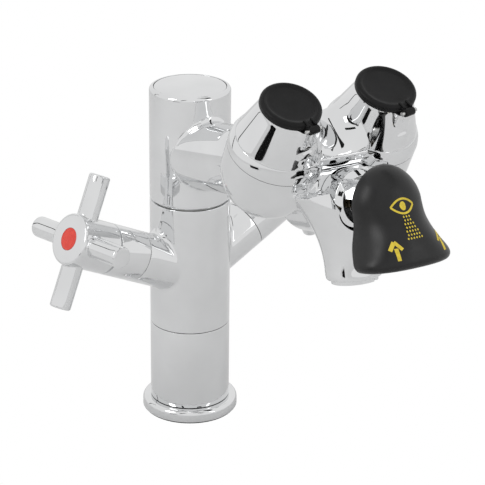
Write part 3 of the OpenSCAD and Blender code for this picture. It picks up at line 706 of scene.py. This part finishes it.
# ---------------------------------------------------------------------------- lift lever
# A hollow moulding in satin black plastic: a round cowl over the valve that flares into a broad skirt
# for the fingers or a forearm. Its wall is even, its rim is rounded, and it is open at the back.

lever_plastic = finish("lever_plastic", (0.008, 0.008, 0.0085), (0.005, 0.005, 0.005), (0.28, 0.40),
                       patch=14 * mm, grain=0.015 * mm, grain_size=0.4 * mm)
lever_plastic.node_tree.nodes["Principled BSDF"].inputs["Specular IOR Level"].default_value = 0.4
lever_top = 20.0 * mm
lever_wall = 2.6 * mm


def follow(stations, at):
    """A smooth line through stations of (height, value), in mm, with the heights falling."""
    for i in range(len(stations) - 1):
        (h0, v0), (h1, v1) = stations[i], stations[i + 1]
        if at >= h1 or i == len(stations) - 2:
            before = stations[max(i - 1, 0)]
            after = stations[min(i + 2, len(stations) - 1)]
            span = h1 - h0
            slope0 = (v1 - before[1]) / (h1 - before[0]) * span
            slope1 = (after[1] - v0) / (after[0] - h0) * span
            t = (at - h0) / span
            return ((2 * t ** 3 - 3 * t ** 2 + 1) * v0 + (t ** 3 - 2 * t ** 2 + t) * slope0
                    + (-2 * t ** 3 + 3 * t ** 2) * v1 + (t ** 3 - t ** 2) * slope1)


half_widths = [(0, 19.6), (-7, 19.4), (-13, 20.6), (-19, 23.3), (-25, 26.2), (-30.7, 27.6)]
fronts = [(0, 16.6), (-7, 20.2), (-14.3, 25.0), (-22, 27.6), (-30.7, 29.3)]
backs = [(0, 0), (-13, 0), (-19, 2.2), (-25, 6.5), (-30.7, 9.5)]
skirt_foot = -30.7
foot_round = 4.5


def lever_ring(height):
    """Half width, back and front of the lever's section at a height above or below its axis, in mm."""
    if height >= 0:
        up = min(1, height / (lever_top / mm))
        return 19.6 * math.sqrt(max(0, 1 - up ** 1.8)), 0, 16.6 * math.sqrt(max(0, 1 - up ** 1.65))
    return follow(half_widths, height), follow(backs, height), follow(fronts, height)


heights = [lever_top / mm * math.cos(math.radians(90 * i / 30)) for i in range(31)]
heights += [(skirt_foot + foot_round) * i / 34 for i in range(1, 35)]
rings = [(h, *lever_ring(h), 0) for h in heights]
for i in range(1, 11):
    lean = math.radians(9 * i)
    h = skirt_foot + foot_round - foot_round * math.sin(lean)
    rings.append((h, *lever_ring(h), foot_round * (1 - math.cos(lean))))
rings += [(skirt_foot, *lever_ring(skirt_foot), foot_round + 8.2 * i / 5) for i in range(1, 6)]
round_steps = 72
bpy.ops.object.select_all(action="DESELECT")
bpy.ops.mesh.primitive_grid_add(x_subdivisions=round_steps, y_subdivisions=len(rings) - 1, size=2)
lever = bpy.context.object
lever.name = "lift_lever"
for v in lever.data.vertices:
    height, wide, back, front, inset = rings[round((v.co.y + 1) / 2 * (len(rings) - 1))]
    turn = math.pi * (1 - round((v.co.x + 1) / 2 * round_steps) / round_steps)
    squareness = 1 if height > 0 else 1 - 0.16 * min(1, -height / 25)
    x = math.copysign(abs(math.cos(turn)) ** squareness, math.cos(turn)) * max(0, wide - inset)
    deep = back + (front - back - inset) * math.sin(turn) ** squareness
    v.co = Vector((x, height, max(back, deep))) * mm
tidy_mesh(lever)
wall = lever.modifiers.new("wall", "SOLIDIFY")
wall.thickness = lever_wall
wall.offset = -1
wall.use_even_offset = False
pick(lever)
bpy.ops.object.modifier_apply(modifier=wall.name)
tidy_mesh(lever, angle=50)
place_at(lever, lever_place)
lever.data.materials.append(lever_plastic)
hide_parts("lever")
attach(lever, "lever_set")

# ---------------------------------------------------------------------------- print on the lever
# A plain yellow eye and a fan of drops are pad printed on the front of the lever, and two arrows under
# them show which way it lifts. The ink lies on the moulding and is a little worn.

ink = finish("yellow_ink", (0.80, 0.62, 0.05), (0.62, 0.46, 0.03), (0.45, 0.7), patch=2 * mm,
             grain=0.01 * mm, grain_size=0.2 * mm)


def stroke(line, width):
    """A flat printed stroke along a line of (across, up) points in mm."""
    bpy.ops.object.select_all(action="DESELECT")
    bpy.ops.mesh.primitive_grid_add(x_subdivisions=len(line) - 1, y_subdivisions=1, size=2)
    made = bpy.context.object
    for v in made.data.vertices:
        i = round((v.co.x + 1) / 2 * (len(line) - 1))
        before, after = line[max(i - 1, 0)], line[min(i + 1, len(line) - 1)]
        away = Vector((before[1] - after[1], after[0] - before[0])).normalized()
        side = away * math.copysign(width / 2, v.co.y)
        v.co = Vector(((line[i][0] + side.x) * mm, (line[i][1] + side.y) * mm, 60 * mm))
    return made


def blob(x, up, wide, high):
    """A flat printed oval of that width and height in mm."""
    bpy.ops.object.select_all(action="DESELECT")
    bpy.ops.mesh.primitive_grid_add(x_subdivisions=10, y_subdivisions=10, size=2)
    made = bpy.context.object
    for v in made.data.vertices:
        a, b = v.co.x, v.co.y
        out = x + wide / 2 * a * math.sqrt(1 - b * b / 2)
        rise = up + high / 2 * b * math.sqrt(1 - a * a / 2)
        v.co = (out * mm, rise * mm, 60 * mm)
    return made


prints = []
for side in (-1, 1):
    lid_line = [(6.6 * (i / 12 - 1), side * 3.6 * (1 - (i / 12 - 1) ** 2)) for i in range(25)]
    prints.append(stroke(lid_line, 1.0))
prints.append(blob(0, 0, 3.4, 4.4))
for row, count in enumerate((3, 3, 4, 4, 5, 5, 6)):
    for k in range(count):
        prints.append(blob((k - (count - 1) / 2) * 1.6, -5.2 - 1.7 * row, 0.8, 1.0))
for at in (-11.5, 17.5):
    prints.append(stroke([(at, -25 + i * 0.6) for i in range(11)], 1.9))
    prints.append(stroke([(at - 2.9 + i * 0.58, -19.9 + i * 0.8) for i in range(6)], 1.7))
    prints.append(stroke([(at + 2.9 - i * 0.58, -19.9 + i * 0.8) for i in range(6)], 1.7))
bpy.ops.object.select_all(action="DESELECT")
for part in prints:
    part.select_set(True)
bpy.context.view_layer.objects.active = prints[0]
bpy.ops.object.join()
sign = bpy.context.object
sign.name = "lever_print"
place_at(sign, lever_place)
sign.data.materials.append(ink)
bpy.context.view_layer.update()
for v in sign.data.vertices:
    found, spot, normal, face = lever.ray_cast(v.co, -lever_axis)
    v.co = spot + normal * 0.06 * mm if found else v.co
film = sign.modifiers.new("film", "SOLIDIFY")
film.thickness = 0.08 * mm
film.offset = -1
pick(sign)
bpy.ops.object.modifier_apply(modifier=film.name)
tidy_mesh(sign)
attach(sign, "lever_set")

# ---------------------------------------------------------------------------- outlet and aerator
# The outlet's aerator is a chromed ring with two key slots, screwed up into the downspout on a
# rubber washer, round a white plastic insert.

coat("aerator_housing", chrome, 0.2 * mm)
coat("aerator_insert", white_plastic, 0.15 * mm)
coat("aerator_washer", gasket_rubber)

# ---------------------------------------------------------------------------- camera, floor and lights
# A plain white sweep under soft boxes, with the tap seen from its front left and a little above.

studio = bpy.context.scene
studio.view_settings.view_transform = "Standard"
camera_data = bpy.data.cameras.new("camera")
camera_data.lens = 157.1
camera_data.sensor_width = 36
camera_data.clip_start = 0.05
camera_data.clip_end = 20
camera = bpy.data.objects.new("camera", camera_data)
studio.collection.objects.link(camera)
studio.camera = camera
look = Vector((0.46631586, 0.79545218, -0.38704696))
camera.matrix_world = (Matrix.Translation((-0.56498, -1.02605, 0.59942))
                       @ look.to_track_quat("-Z", "Y").to_matrix().to_4x4()
                       @ Matrix.Rotation(math.radians(0.615), 4, "Z"))

bpy.ops.object.select_all(action="DESELECT")
bpy.ops.mesh.primitive_plane_add(size=8, location=(0, 0, 0))
floor = bpy.context.object
floor.name = "floor"
floor_white = bpy.data.materials.new("floor_white")
floor_white.use_nodes = True
tree = floor_white.node_tree
tree.nodes["Principled BSDF"].inputs["Base Color"].default_value = (0.78, 0.78, 0.78, 1)
tree.nodes["Principled BSDF"].inputs["Roughness"].default_value = 0.9
tree.nodes["Principled BSDF"].inputs["Specular IOR Level"].default_value = 0.1
bright = tree.nodes.new("ShaderNodeEmission")
bright.inputs["Strength"].default_value = 1.0
ray = tree.nodes.new("ShaderNodeLightPath")
either = tree.nodes.new("ShaderNodeMixShader")
tree.links.new(ray.outputs["Is Camera Ray"], either.inputs["Fac"])
tree.links.new(tree.nodes["Principled BSDF"].outputs["BSDF"], either.inputs[1])
tree.links.new(bright.outputs["Emission"], either.inputs[2])
tree.links.new(either.outputs["Shader"], tree.nodes["Material Output"].inputs["Surface"])
floor.data.materials.append(floor_white)

world = bpy.data.worlds.new("studio")
world.use_nodes = True
studio.world = world
tree = world.node_tree
ray = tree.nodes.new("ShaderNodeLightPath")
level = tree.nodes.new("ShaderNodeMapRange")
level.inputs["To Min"].default_value = 0.88
level.inputs["To Max"].default_value = 1.0
tree.links.new(ray.outputs["Is Camera Ray"], level.inputs["Value"])
tree.links.new(level.outputs["Result"], tree.nodes["Background"].inputs["Strength"])
tree.nodes["Background"].inputs["Color"].default_value = (1, 1, 1, 1)


# The tap reflects two bright boxes and four dark flags, which the camera itself doesn't see.


def card(name, turn, height, wide, high, tone, glow, away=1.5, lean=0):
    """A studio card that faces the tap, turn degrees round from the camera and height degrees up."""
    bpy.ops.object.select_all(action="DESELECT")
    bpy.ops.mesh.primitive_plane_add(size=1)
    made = bpy.context.object
    made.name = name
    around = math.radians(turn) + math.atan2(camera.location.y, camera.location.x)
    up = math.radians(height)
    out = Vector((math.cos(up) * math.cos(around), math.cos(up) * math.sin(around), math.sin(up)))
    made.matrix_world = (Matrix.Translation(Vector((0, -0.1, 0.17)) + out * away)
                         @ (-out).to_track_quat("Z", "Y").to_matrix().to_4x4()
                         @ Matrix.Rotation(math.radians(lean), 4, "Z") @ Matrix.Diagonal((wide, high, 1, 1)))
    look_of = bpy.data.materials.new(name)
    look_of.use_nodes = True
    shader = look_of.node_tree.nodes["Principled BSDF"]
    shader.inputs["Base Color"].default_value = (tone, tone, tone, 1)
    shader.inputs["Roughness"].default_value = 0.9
    shader.inputs["Specular IOR Level"].default_value = 0.0
    shader.inputs["Emission Color"].default_value = (1, 1, 1, 1)
    shader.inputs["Emission Strength"].default_value = glow
    made.data.materials.append(look_of)
    made.visible_camera = False
    made.visible_shadow = False


card("soft_box_left", -62, 38, 0.4, 0.7, 0.8, 4.0)
card("soft_box_right", 60, 28, 0.22, 0.8, 0.8, 1.6)
card("flag_front", -43, -6.2, 0.34, 0.12, 0.01, 0, away=1.0)
card("flag_high", -25, 42, 0.14, 0.9, 0.01, 0, lean=12)
card("flag_over", 110, 66, 0.24, 1.3, 0.02, 0, lean=70)
card("flag_left", -118, 20, 0.07, 1.1, 0.02, 0, lean=-15)
